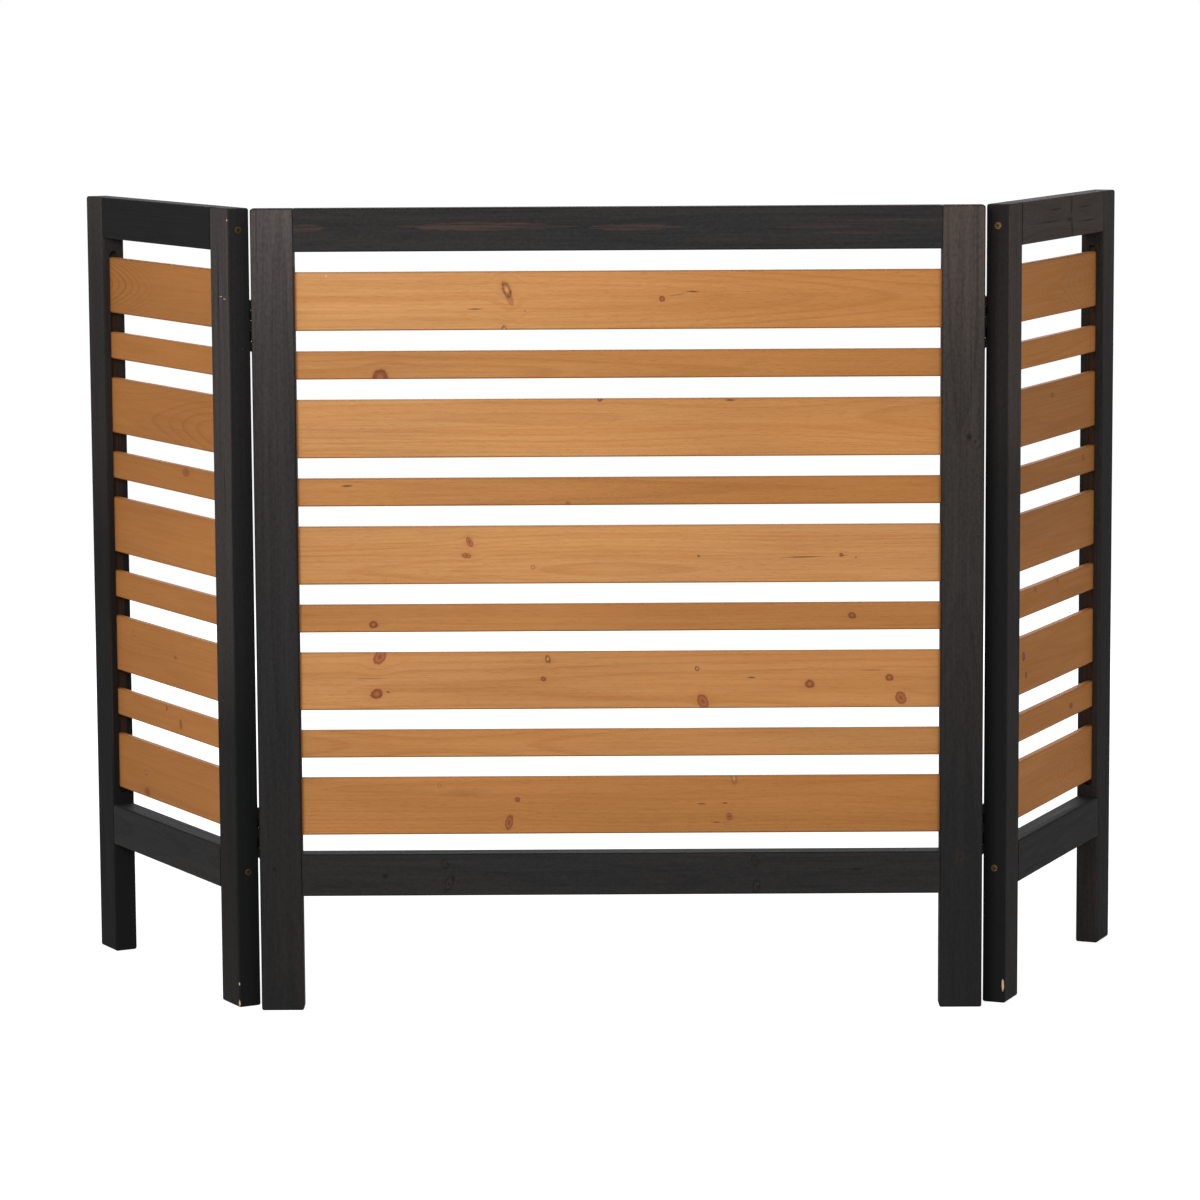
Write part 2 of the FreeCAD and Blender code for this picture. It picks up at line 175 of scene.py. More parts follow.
# How the grain runs in the posts and in the rails
POST_RUN = {
    "first_seed": 40.0,
    "pith_depth": 0.022,
    "pith_across": 0.012,
    "taper": 0.012,
    "spacing": 0.0048,
    "swell_place": 0.3,
    "swell_pace": 2.0,
    "swell_length": 0.20,
    "swell": 0.012,
}
RAIL_RUN = {
    "first_seed": 60.0,
    "pith_depth": 0.024,
    "pith_across": 0.010,
    "taper": 0.010,
    "spacing": 0.0052,
    "swell_place": 0.2,
    "swell_pace": 3.0,
    "swell_length": 0.18,
    "swell": 0.012,
}

# Knots of the slats, slat by slat from the top: the place as shares of half the opening's width and
# half the slat's height, the half sizes along and across it, the lean in degrees, and the kind
CENTRE_KNOT_SHARES = {
    1: (
        (-0.344, 0.38, 0.0048, 0.0100, 20, "dead"),
        (-0.337, 0.14, 0.0044, 0.0125, 20, "tail"),
        (-0.352, -0.96, 0.0030, 0.0040, 10, "dead"),
        (0.136, 0.04, 0.0036, 0.0036, 0, "round"),
        (-0.443, -0.28, 0.0110, 0.0010, 0, "streak"),
        (-0.288, -0.35, 0.0018, 0.0016, 0, "faint"),
        (0.232, 0.28, 0.0090, 0.0012, -2, "streak"),
        (0.186, 0.18, 0.0150, 0.0009, 9, "faint"),
    ),
    2: ((-0.738, -0.80, 0.0094, 0.0090, 15, "round"),),
    3: (
        (-0.058, 0.99, 0.0030, 0.0030, 5, "round"),
        (0.346, 0.93, 0.0080, 0.0015, 0, "streak"),
    ),
    4: (
        (-0.845, 0.48, 0.0090, 0.0016, 4, "streak"),
        (-0.159, -0.84, 0.0034, 0.0026, 0, "eye"),
    ),
    5: (
        (-0.466, 0.46, 0.0038, 0.0066, 25, "bud"),
        (-0.476, -0.01, 0.0060, 0.0036, -6, "bud"),
        (-0.269, -0.42, 0.0026, 0.0030, 0, "pale"),
        (0.247, -0.07, 0.0016, 0.0024, 40, "streak"),
        (0.571, -0.12, 0.0280, 0.0010, 1, "streak"),
        (0.691, -0.05, 0.0022, 0.0024, 0, "round"),
        (0.700, -0.07, 0.0060, 0.0010, 2, "faint"),
        (0.737, -0.14, 0.0012, 0.0012, 0, "streak"),
    ),
    6: (
        (-0.768, -0.42, 0.0054, 0.0046, 10, "round"),
        (0.725, 0.06, 0.0048, 0.0040, -10, "round"),
    ),
    7: (
        (-0.749, 0.86, 0.0070, 0.0110, -32, "red"),
        (-0.760, -0.43, 0.0076, 0.0062, 24, "round"),
        (-0.725, -0.37, 0.0030, 0.0013, -10, "streak"),
        (-0.778, 0.10, 0.0180, 0.0009, 1, "faint"),
        (-0.225, 0.75, 0.0030, 0.0046, 8, "dead"),
        (-0.239, 0.06, 0.0032, 0.0029, 0, "round"),
        (0.241, 0.39, 0.0024, 0.0030, 5, "dead"),
        (0.259, -0.75, 0.0066, 0.0098, 26, "red"),
        (0.411, 0.07, 0.0062, 0.0013, 0, "streak"),
        (0.593, -0.16, 0.0058, 0.0052, 0, "round"),
        (0.842, 0.05, 0.0048, 0.0044, 0, "round"),
        (0.878, -0.66, 0.0068, 0.0084, 24, "red"),
        (0.790, 0.31, 0.0190, 0.0011, 1, "faint"),
    ),
    9: (
        (-0.323, 0.21, 0.0030, 0.0030, 0, "round"),
        (-0.350, -0.59, 0.0048, 0.0100, -12, "red"),
        (-0.567, 0.72, 0.0024, 0.0024, 0, "pale"),
        (-0.487, 0.46, 0.0340, 0.0070, 1, "smudge"),
        (0.356, 0.92, 0.0036, 0.0080, 5, "pale"),
        (0.341, -0.42, 0.0036, 0.0050, 4, "bud"),
        (0.255, 0.03, 0.0070, 0.0010, 0, "streak"),
        (0.327, 0.05, 0.0040, 0.0012, 0, "streak"),
        (0.300, -0.62, 0.0060, 0.0009, 0, "streak"),
    ),
}
LEFT_WING_KNOT_SHARES = {
    4: ((0.38, 0.62, 0.0095, 0.0054, 0, "bud"), (0.39, -0.86, 0.0050, 0.0034, 0, "pale")),
    7: ((0.12, 0.11, 0.0036, 0.0022, 0, "bud"), (-0.67, 0.52, 0.0050, 0.0040, 0, "pale")),
    8: ((0.20, -0.14, 0.0046, 0.0068, 8, "red"), (-0.06, 0.72, 0.0030, 0.0034, 0, "red")),
    9: ((-0.48, -0.10, 0.0046, 0.0040, 0, "pale"), (-0.46, -0.78, 0.0080, 0.0056, 0, "red")),
}
RIGHT_WING_KNOT_SHARES = {
    3: ((-0.08, 0.54, 0.0054, 0.0030, 0, "eye"),),
    4: ((0.71, 0.29, 0.0048, 0.0042, 0, "eye"),),
    5: ((0.85, 0.20, 0.0060, 0.0032, 0, "pale"),),
    6: ((-0.47, 0.76, 0.0040, 0.0030, 0, "red"), (0.08, 0.76, 0.0034, 0.0028, 0, "red")),
    7: ((-0.74, 0.33, 0.0054, 0.0056, 0, "round"), (-0.68, -0.37, 0.0040, 0.0042, 0, "round")),
    8: ((0.45, -0.10, 0.0068, 0.0036, 0, "round"), (-0.30, -0.65, 0.0044, 0.0032, 0, "pale")),
}
SLAT_KNOT_SHARES = {
    "centre": CENTRE_KNOT_SHARES,
    "left_wing": LEFT_WING_KNOT_SHARES,
    "right_wing": RIGHT_WING_KNOT_SHARES,
}

# Knots of the black boards, written in the same way, with shares of the board's half length and half width
FRAME_KNOT_SHARES = {
    "centre_bottom_rail": (
        (-0.740, -0.04, 0.0050, 0.0040, 0, "streak"),
        (-0.552, 0.52, 0.0040, 0.0060, 20, "whorl"),
        (-0.540, -0.42, 0.0050, 0.0110, -20, "whorl"),
        (0.420, 0.62, 0.0040, 0.0070, 10, "whorl"),
        (0.425, -0.62, 0.0044, 0.0090, -8, "whorl"),
        (0.740, 0.18, 0.0090, 0.0016, 2, "streak"),
    ),
    "centre_right_post": (
        (0.419, 0.57, 0.0085, 0.0085, 0, "eye"),
        (0.431, 0.29, 0.0062, 0.0046, 0, "streak"),
        (-0.617, -0.05, 0.0085, 0.0080, 0, "eye"),
    ),
    "centre_left_post": ((-0.640, -0.32, 0.0040, 0.0020, 0, "streak"),),
    "left_wing_hinge_post": (
        (0.800, -0.10, 0.0700, 0.0020, 2, "streak"),
        (0.300, 0.30, 0.0500, 0.0016, -1, "streak"),
    ),
    "right_wing_top_rail": (
        (0.180, 0.52, 0.0058, 0.0160, -8, "streak"),
        (0.140, -0.12, 0.0160, 0.0030, 0, "streak"),
        (0.200, -0.55, 0.0058, 0.0150, 14, "streak"),
        (-0.350, -0.10, 0.0600, 0.0016, 0, "streak"),
        (0.550, 0.40, 0.0340, 0.0016, 0, "streak"),
        (-0.200, 0.45, 0.0300, 0.0016, 0, "streak"),
        (0.600, -0.30, 0.0460, 0.0014, 0, "streak"),
    ),
}

# What each kind of knot shows: reddish fill, dark rim, golden ring, dark core, golden heart, soft halo.
# A streak is only a dark line that fades towards its ends, and has only a strength.
KNOT_KINDS = {
    "dead": {"Fill": 0.40, "Rim": 0.90, "Ring": 0.0, "Core": 0.0, "Heart": 0.80, "Halo": 0.22},
    "red": {"Fill": 0.90, "Rim": 0.10, "Ring": 0.24, "Core": 0.12, "Heart": 0.0, "Halo": 0.10},
    "round": {"Fill": 0.92, "Rim": 0.38, "Ring": 0.0, "Core": 0.0, "Heart": 0.22, "Halo": 0.16},
    "eye": {"Fill": 0.34, "Rim": 0.30, "Ring": 0.0, "Core": 0.50, "Heart": 0.0, "Halo": 0.12},
    "pale": {"Fill": 0.30, "Rim": 0.25, "Ring": 0.0, "Core": 0.0, "Heart": 0.85, "Halo": 0.05},
    "tail": {"Fill": 0.50, "Rim": 0.0, "Ring": 0.0, "Core": 0.0, "Heart": 0.0, "Halo": 0.08},
    "bud": {"Fill": 0.86, "Rim": 0.05, "Ring": 0.34, "Core": 0.26, "Heart": 0.0, "Halo": 0.24},
    "whorl": {"Fill": 0.10, "Rim": 0.90, "Ring": 0.30, "Core": 0.60, "Heart": 0.0, "Halo": 0.0},
}
STREAK_KINDS = {"streak": 0.80, "faint": 0.40, "smudge": 0.16}

# Long flames in the top rail where the stain is thin: place as shares, half sizes, strength
FLAME_SHARES = (
    (-0.40, 0.14, 0.108, 0.0048, 0.62),
    (0.045, 0.08, 0.060, 0.0036, 0.52),
    (-0.96, 0.12, 0.024, 0.0050, 0.50),
    (0.62, 0.02, 0.060, 0.0016, 0.35),
    (0.80, 0.34, 0.090, 0.0014, 0.28),
    (0.78, -0.22, 0.075, 0.0014, 0.24),
)

# Chips of bare wood: the place as shares of the half length, depth and width, and the half sizes
CHIP_SHARES = {
    "right_wing_hinge_post": ((-0.954, -0.82, -1.00, 0.0078, 0.0016, 0.0012),),
    "left_wing_hinge_post": (
        (-0.940, -0.98, 0.98, 0.0026, 0.0012, 0.0012),
        (-0.990, -0.98, 0.97, 0.0050, 0.0014, 0.0014),
        (0.782, -1.00, 0.20, 0.0006, 0.0020, 0.0040),
        (0.777, -1.00, 0.60, 0.0006, 0.0020, 0.0040),
        (0.971, -0.96, 0.95, 0.0010, 0.0008, 0.0008),
    ),
    "centre_slat_1": ((-0.880, -1.00, 0.88, 0.0009, 0.0020, 0.0016),),
}

# How light each black board is against the others, and how dark the feet of the posts are
FRAME_TONE_SHARES = {
    "left_wing_hinge_post": 0.86,
    "right_wing_hinge_post": 1.15,
    "left_wing_top_rail": 0.50,
    "right_wing_top_rail": 1.0,
    "right_wing_outer_post": 0.75,
    "left_wing_outer_post": 0.70,
    "centre_bottom_rail": 0.85,
    "left_wing_bottom_rail": 1.06,
    "right_wing_bottom_rail": 0.94,
}
FOOT_TONE_SHARES = {"centre": 0.68, "left_wing": 0.53, "right_wing": 0.53}

# Gloss of the woods and of the screws, how rough the metals are where smoothest and where roughest,
# and how much of the lighter worn stain the tops of the black boards show, as wear and painted light
SLAT_GLOSS = 0.09
FRAME_GLOSS = 0.03
ZINC_GLOSS = 0.2
ZINC_METAL_SHARE = 0.75
ZINC_ROUGH = (0.28, 0.46)
BRONZE_ROUGH = (0.36, 0.52)
LEAF_ROUGH = (0.34, 0.50)
STEEL_ROUGH = (0.25, 0.45)
FLOOR_ROUGH = 0.9
TOP_WEAR_AND_LIGHT_SHARE = 0.45

# Posts whose inner side and groove are painted lighter than the others', as painted light reaching them
INNER_LIGHT_SHARES = {"right_wing_outer_post": 1.6}
GROOVE_LIGHT_SHARES = {"right_wing_outer_post": 2.0}

# Boards whose lighter stain (a painted highlight on posts) is browner, and boards that are faded all over
BROWNER_BOARDS = ("centre_right_post", "right_wing_hinge_post", "right_wing_top_rail")
FADED_BOARDS = ("right_wing_top_rail",)

# How light each slat is against the others, from the top slat down
SLAT_TONE_SHARES = {
    "centre": (1.04, 0.95, 1.05, 0.945, 1.06, 0.93, 1.03, 0.97, 0.93),
    "left_wing": (1.065, 1.165, 1.10, 1.02, 1.13, 1.115, 1.13, 1.135, 1.04),
    "right_wing": (1.215, 1.245, 1.075, 1.00, 1.085, 1.145, 1.16, 1.105, 1.19),
}

# How pale each centre slat is at its left and its right end, from the top slat down: partly the wood's
# own paler tone, partly a painted sheen of the light from the upper left
SLAT_PALE_AND_SHEEN_SHARES = (
    (0.83, 0.19),
    (0.48, 0.14),
    (0.79, 0.37),
    (0.41, 0.09),
    (0.66, 0.70),
    (0.34, 0.16),
    (0.59, 0.43),
    (0.40, 0.47),
    (0.25, 0.14),
)
WING_PALE_AND_SHEEN_SHARES = (0.0, 0.0)
PALE_AND_SHEEN_REACH_SHARE = 0.75

# Slats whose grain shows arches: where the rings swell as a share of the half length, over what length,
# by how much, how far across the slat the arches centre, the rings' taper, and how dark they are at the
# left and the right end, where a share below 0 ends the rings before that end
CATHEDRAL_SHARES = {
    ("centre", 1): (1.15, 0.30, 0.022, 0.10, 0.0, (0.26, 0.44)),
    ("centre", 8): (-0.55, 0.20, 0.014, -0.10, 0.0, (0.32, 0.32)),
    ("left_wing", 1): (-1.0, 0.10, 0.0, 0.05, 0.17, (0.95, -1.6)),
    ("left_wing", 3): (1.05, 0.19, -0.030, -0.25, 0.0, (0.45, 0.55)),
    ("right_wing", 1): (0.55, 0.045, -0.018, 0.05, 0.0, (0.20, 0.80)),
    ("right_wing", 9): (0.45, 0.055, -0.018, -0.10, 0.0, (0.15, 0.65)),
}
RING_SHARES = (0.32, 0.32)

# Painted highlight up a post, lighter towards the top where the light falls, as shares: the place from the
# foot and the amount there. Some posts take a curve of their own
TOP_HIGHLIGHT_SHARES = ((0.0, 0.0), (0.34, 0.03), (0.50, 0.11), (0.66, 0.20), (0.82, 0.42), (0.90, 0.68), (1.0, 1.0))
OWN_TOP_HIGHLIGHT_SHARES = {
    "centre_right_post": (
        (0.0, 0.0),
        (0.24, 0.0),
        (0.38, 0.10),
        (0.66, 0.38),
        (0.80, 0.50),
        (0.91, 0.86),
        (1.0, 1.0),
    ),
    "left_wing_hinge_post": (
        (0.0, 0.15),
        (0.16, 0.0),
        (0.34, 0.0),
        (0.45, 0.48),
        (0.60, 0.72),
        (0.90, 1.0),
    ),
    "left_wing_outer_post": (
        (0.0, 0.0),
        (0.55, 0.05),
        (0.68, 0.46),
        (0.82, 0.50),
        (0.90, 0.62),
        (1.0, 1.0),
    ),
    "right_wing_hinge_post": (
        (0.0, 0.04),
        (0.50, 0.10),
        (0.66, 0.30),
        (0.75, 0.78),
        (0.90, 0.80),
        (1.0, 0.72),
    ),
}


class Graph:
    """A node tree, with a short call for each kind of node used here. Each call returns an output."""

    def __init__(self, tree):
        self.tree = tree

    def add(self, kind, **settings):
        node = self.tree.nodes.new(kind)
        for name, value in settings.items():
            setattr(node, name, value)
        return node

    def feed(self, socket, value):
        if isinstance(value, bpy.types.NodeSocket):
            self.tree.links.new(value, socket)
        else:
            socket.default_value = value

    def math(self, operation, *values, clamp=False):
        node = self.add("ShaderNodeMath", operation=operation, use_clamp=clamp)
        for socket, value in zip(node.inputs, values):
            self.feed(socket, value)
        return node.outputs[0]

    def vector(self, operation, *values):
        node = self.add("ShaderNodeVectorMath", operation=operation)
        for socket, value in zip(node.inputs, values):
            self.feed(socket, value)
        return node.outputs["Vector"]

    def join(self, x, y, z):
        node = self.add("ShaderNodeCombineXYZ")
        for socket, value in zip(node.inputs, (x, y, z)):
            self.feed(socket, value)
        return node.outputs[0]

    def split(self, vector):
        node = self.add("ShaderNodeSeparateXYZ")
        self.feed(node.inputs[0], vector)
        return node.outputs

    def turn(self, vector, angle, axis):
        node = self.add("ShaderNodeVectorRotate", rotation_type=axis)
        self.feed(node.inputs["Vector"], vector)
        self.feed(node.inputs["Angle"], angle)
        return node.outputs[0]

    def step(self, value, low, high, start=0.0, end=1.0):
        """A smooth step of value: start at low, end at high, where low may be the larger."""
        node = self.add("ShaderNodeMapRange", interpolation_type="SMOOTHSTEP", clamp=True)
        for name, number in (
            ("Value", value),
            ("From Min", low),
            ("From Max", high),
            ("To Min", start),
            ("To Max", end),
        ):
            self.feed(node.inputs[name], number)
        return node.outputs["Result"]

    def noise(self, place, scale=1.0, detail=2.0, roughness=0.5):
        node = self.add("ShaderNodeTexNoise")
        self.feed(node.inputs["Vector"], place)
        self.feed(node.inputs["Scale"], scale)
        self.feed(node.inputs["Detail"], detail)
        self.feed(node.inputs["Roughness"], roughness)
        return node.outputs[0]

    def chance(self, number):
        """A random number from 0 to 1 for each whole number."""
        node = self.add("ShaderNodeTexWhiteNoise", noise_dimensions="1D")
        self.feed(node.inputs["W"], number)
        return node.outputs["Value"]

    def mix(self, share, first, second, blend="MIX"):
        """A mix of two colours. Its colour sockets share their names with others, so numbers pick them."""
        node = self.add("ShaderNodeMix", data_type="RGBA", blend_type=blend)
        self.feed(node.inputs[0], share)
        self.feed(node.inputs[6], first)
        self.feed(node.inputs[7], second)
        return node.outputs[2]

    def ramp(self, share, stops):
        """A curve through (place, height) stops."""
        node = self.add("ShaderNodeValToRGB")
        self.feed(node.inputs[0], share)
        elements = node.color_ramp.elements
        while len(elements) < len(stops):
            elements.new(0.5)
        for element, (place, height) in zip(elements, stops):
            element.position = place
            element.color = (height, height, height, 1.0)
        return node.outputs[0]

    def bump(self, height, depth):
        node = self.add("ShaderNodeBump")
        self.feed(node.inputs["Height"], height)
        self.feed(node.inputs["Distance"], depth)
        self.feed(node.inputs["Strength"], 1.0)
        return node.outputs[0]

    def group(self, tree, **values):
        node = self.add("ShaderNodeGroup")
        node.node_tree = tree
        for name, value in values.items():
            self.feed(node.inputs[name], value)
        return node.outputs


def new_group(name, inputs, outputs):
    """An empty node group, its graph, and its inner input and output sockets."""
    tree = bpy.data.node_groups.new(name, "ShaderNodeTree")
    for socket, kind in inputs:
        tree.interface.new_socket(socket, in_out="INPUT", socket_type="NodeSocket" + kind)
    for socket, kind in outputs:
        tree.interface.new_socket(socket, in_out="OUTPUT", socket_type="NodeSocket" + kind)
    entry = tree.nodes.new("NodeGroupInput").outputs
    leave = tree.nodes.new("NodeGroupOutput").inputs
    return tree, Graph(tree), entry, leave


def grain_group():
    """Grain of a board at a place in its own frame: along the board, through its depth, across it."""
    tree, g, entry, leave = new_group(
        "grain",
        [
            ("Place", "Vector"),
            ("Seed", "Float"),
            ("Pith", "Vector"),
            ("Taper", "Float"),
            ("Spacing", "Float"),
            ("Shift", "Float"),
            ("Swell Place", "Float"),
            ("Swell Length", "Float"),
            ("Swell", "Float"),
        ],
        [("Ring", "Float"), ("Fibre", "Float"), ("Blotch", "Float"), ("Line", "Float"), ("Band", "Float")],
    )
    offset = g.vector("SCALE", SEED_STEP)
    g.feed(offset.node.inputs["Scale"], entry["Seed"])
    own = g.vector("ADD", entry["Place"], offset)

    def pattern(kind, detail=2.0, roughness=0.5):
        return g.noise(g.vector("MULTIPLY", own, PATTERN_SCALES[kind]), detail=detail, roughness=roughness)

    wander = pattern("wander")
    ripple = pattern("ripple")
    along, depth, across = g.split(g.vector("SUBTRACT", entry["Place"], entry["Pith"]))
    swell = g.math("DIVIDE", g.math("SUBTRACT", along, entry["Swell Place"]), entry["Swell Length"])
    swell = g.math("EXPONENT", g.math("MULTIPLY", g.math("POWER", swell, 2.0), -1.0))
    across = g.math("ADD", across, entry["Shift"])
    across = g.math("MULTIPLY_ADD", g.math("SUBTRACT", wander, 0.5), RING_WANDER, across)
    radius = g.math("SQRT", g.math("ADD", g.math("POWER", across, 2.0), g.math("POWER", depth, 2.0)))
    radius = g.math("MULTIPLY_ADD", along, entry["Taper"], radius)
    radius = g.math("MULTIPLY_ADD", swell, entry["Swell"], radius)
    radius = g.math("MULTIPLY_ADD", g.math("SUBTRACT", ripple, 0.5), RING_RIPPLE, radius)
    years = g.math("DIVIDE", radius, entry["Spacing"])
    season = g.math("FRACT", years)
    year = g.math("ADD", g.math("FLOOR", years), entry["Seed"])
    profile = g.ramp(season, ((0.0, 0.0), (0.55, 0.12), (0.84, 1.0), (0.93, 0.85), (1.0, 0.0)))
    weight = g.math("MULTIPLY_ADD", g.chance(year), 0.75, 0.25)
    g.feed(leave["Ring"], g.math("MULTIPLY", profile, weight))
    g.feed(leave["Fibre"], pattern("fibre", detail=3.0, roughness=0.6))
    g.feed(leave["Blotch"], pattern("blotch"))
    g.feed(leave["Band"], pattern("band", detail=3.0, roughness=0.55))
    g.feed(leave["Line"], g.step(pattern("pores", detail=1.0), 0.60, 0.74))
    return tree


def knot_group():
    """One knot, added to those before it. Shift bends the grain round it."""
    marks = [("Shift", "Float"), ("Red", "Float"), ("Dark", "Float"), ("Pale", "Float")]
    shares = ["Fill", "Rim", "Ring", "Core", "Heart", "Halo"]
    tree, g, entry, leave = new_group(
        "knot",
        [
            ("Place", "Vector"),
            ("Spot", "Vector"),
            ("Half Along", "Float"),
            ("Half Across", "Float"),
            ("Lean", "Float"),
            *[(share, "Float") for share in shares],
            *marks,
        ],
        marks,
    )
    off = g.vector("SUBTRACT", entry["Place"], entry["Spot"])
    wobble = g.noise(off, scale=KNOT_SCALE, detail=2.0)
    along, _, across = g.split(g.turn(off, entry["Lean"], "Y_AXIS"))
    along = g.math("DIVIDE", along, entry["Half Along"])
    across = g.math("DIVIDE", across, entry["Half Across"])
    square = g.math("ADD", g.math("POWER", along, 2.0), g.math("POWER", across, 2.0))
    reach = g.math("MULTIPLY_ADD", g.math("SUBTRACT", wobble, 0.5), 0.36, g.math("SQRT", square))

    def band(middle, width):
        far = g.math("POWER", g.math("DIVIDE", g.math("SUBTRACT", reach, middle), width), 2.0)
        return g.math("EXPONENT", g.math("MULTIPLY", far, -1.0))

    flow = g.math(
        "ADD",
        g.math("POWER", g.math("DIVIDE", along, 3.2), 2.0),
        g.math("POWER", g.math("DIVIDE", across, 2.2), 2.0),
    )
    _, _, drop = g.split(off)
    near = g.math("EXPONENT", g.math("MULTIPLY", flow, -1.0))
    g.feed(leave["Shift"], g.math("MULTIPLY_ADD", g.math("MULTIPLY", near, -0.85), drop, entry["Shift"]))
    halo = g.math("MULTIPLY", g.math("POWER", near, 3.0), entry["Halo"])
    fill = g.math("MULTIPLY", g.step(reach, 1.12, 0.86), entry["Fill"])
    g.feed(leave["Red"], g.math("MAXIMUM", entry["Red"], g.math("MAXIMUM", halo, fill)))
    rim = g.math("MULTIPLY", band(0.84, 0.28), entry["Rim"])
    rim = g.math("MULTIPLY", rim, g.step(wobble, 0.30, 0.60, 1.0, 0.45))
    core = g.math("MULTIPLY", g.step(reach, 0.42, 0.12), entry["Core"])
    g.feed(leave["Dark"], g.math("MAXIMUM", entry["Dark"], g.math("MAXIMUM", rim, core)))
    ring = g.math("MULTIPLY", band(0.52, 0.14), entry["Ring"])
    heart = g.math("MULTIPLY", g.step(reach, 0.54, 0.18), entry["Heart"])
    g.feed(leave["Pale"], g.math("MAXIMUM", entry["Pale"], g.math("MAXIMUM", ring, heart)))
    return tree


def streak_group():
    """One short dark streak, added to those before it."""
    tree, g, entry, leave = new_group(
        "streak",
        [
            ("Place", "Vector"),
            ("Spot", "Vector"),
            ("Half Along", "Float"),
            ("Half Across", "Float"),
            ("Lean", "Float"),
            ("Strength", "Float"),
            ("Dark", "Float"),
        ],
        [("Dark", "Float")],
    )
    off = g.vector("SUBTRACT", entry["Place"], entry["Spot"])
    wobble = g.noise(off, scale=STREAK_SCALE, detail=2.0)
    along, _, across = g.split(g.turn(off, entry["Lean"], "Y_AXIS"))
    along = g.math("DIVIDE", along, entry["Half Along"])
    across = g.math("DIVIDE", across, entry["Half Across"])
    square = g.math("ADD", g.math("POWER", along, 2.0), g.math("POWER", across, 2.0))
    reach = g.math("MULTIPLY_ADD", g.math("SUBTRACT", wobble, 0.5), 0.60, g.math("SQRT", square))
    dark = g.math("MULTIPLY", g.step(reach, 1.20, 0.20), entry["Strength"])
    g.feed(leave["Dark"], g.math("MAXIMUM", entry["Dark"], dark))
    return tree


def flame_group():
    """One long flame of thin stain, added to those before it."""
    tree, g, entry, leave = new_group(
        "flame",
        [
            ("Place", "Vector"),
            ("Spot", "Vector"),
            ("Half Along", "Float"),
            ("Half Across", "Float"),
            ("Strength", "Float"),
            ("Flame", "Float"),
        ],
        [("Flame", "Float")],
    )
    off = g.vector("SUBTRACT", entry["Place"], entry["Spot"])
    along, _, across = g.split(off)
    sway = g.noise(g.vector("MULTIPLY", off, PATTERN_SCALES["sway"]), detail=2.0)
    tongue = g.noise(g.vector("MULTIPLY", off, PATTERN_SCALES["tongue"]), detail=2.0)
    across = g.math("MULTIPLY_ADD", g.math("SUBTRACT", sway, 0.5), FLAME_SWAY, across)
    along = g.math("ABSOLUTE", g.math("DIVIDE", along, entry["Half Along"]))
    across = g.math("ABSOLUTE", g.math("DIVIDE", across, entry["Half Across"]))
    reach = g.math("ADD", g.math("POWER", along, 1.6), g.math("POWER", across, 1.3))
    reach = g.math("MULTIPLY_ADD", g.math("SUBTRACT", tongue, 0.5), 1.5, reach)
    flame = g.math("MULTIPLY", g.step(reach, 1.05, 0.88), entry["Strength"])
    g.feed(leave["Flame"], g.math("MAXIMUM", entry["Flame"], flame))
    return tree


GRAIN = grain_group()
KNOT = knot_group()
STREAK = streak_group()
FLAME = flame_group()


def panel_turn(panel):
    """How far a panel is turned about the upright axis at rest."""
    for joint in frame["joints"]:
        if joint["child"] == panel:
            return math.radians(-joint["range_deg"][0]) * joint["axis"][2]
    return 0.0


class Board:
    """A wooden piece in its panel's own frame: its middle and its half sizes along, deep and across."""

    def __init__(self, name, panel, upright=False):
        self.name = name
        self.panel = panel
        self.upright = upright
        self.turn = panel_turn(panel)
        back = Matrix.Rotation(-self.turn, 3, "Z")
        points = [back @ vertex.co for vertex in nodes[name].data.vertices]
        low = Vector([min(p[i] for p in points) for i in range(3)])
        high = Vector([max(p[i] for p in points) for i in range(3)])
        self.middle = (low + high) / 2
        half = (high - low) / 2
        self.half = Vector((half.z, half.y, half.x)) if upright else half


def start_material(name):
    """A new material, its graph and its principled shader."""
    material = bpy.data.materials.new(name)
    material.use_nodes = True
    graph = Graph(material.node_tree)
    return material, graph, material.node_tree.nodes["Principled BSDF"].inputs


def board_space(g, board):
    """Place and normal on a board, along, deep and across."""
    source = g.add("ShaderNodeTexCoord")
    place = g.turn(source.outputs["Object"], -board.turn, "Z_AXIS")
    place = g.vector("SUBTRACT", place, tuple(board.middle))
    normal = g.turn(source.outputs["Normal"], -board.turn, "Z_AXIS")
    if board.upright:
        x, y, z = g.split(place)
        place = g.join(z, y, x)
        x, y, z = g.split(normal)
        normal = g.join(z, y, x)
    return place, normal


def add_knots(g, board, place, knots, half_width):
    """The marks of all of a board's knots and streaks, as a dictionary of outputs."""
    marks = {"Shift": 0.0, "Red": 0.0, "Dark": 0.0, "Pale": 0.0}
    streaks = 0.0
    for along_share, across_share, half_along, half_across, lean, kind in knots:
        values = {
            "Place": place,
            "Spot": (along_share * half_width, 0.0, across_share * board.half.z),
            "Half Along": half_along,
            "Half Across": half_across,
            "Lean": math.radians(lean),
        }
        if kind in STREAK_KINDS:
            streaks = g.group(STREAK, **values, Strength=STREAK_KINDS[kind], Dark=streaks)["Dark"]
        else:
            outputs = g.group(KNOT, **values, **KNOT_KINDS[kind], **marks)
            marks = {name: outputs[name] for name in marks}
    marks["Streak"] = streaks
    return marks


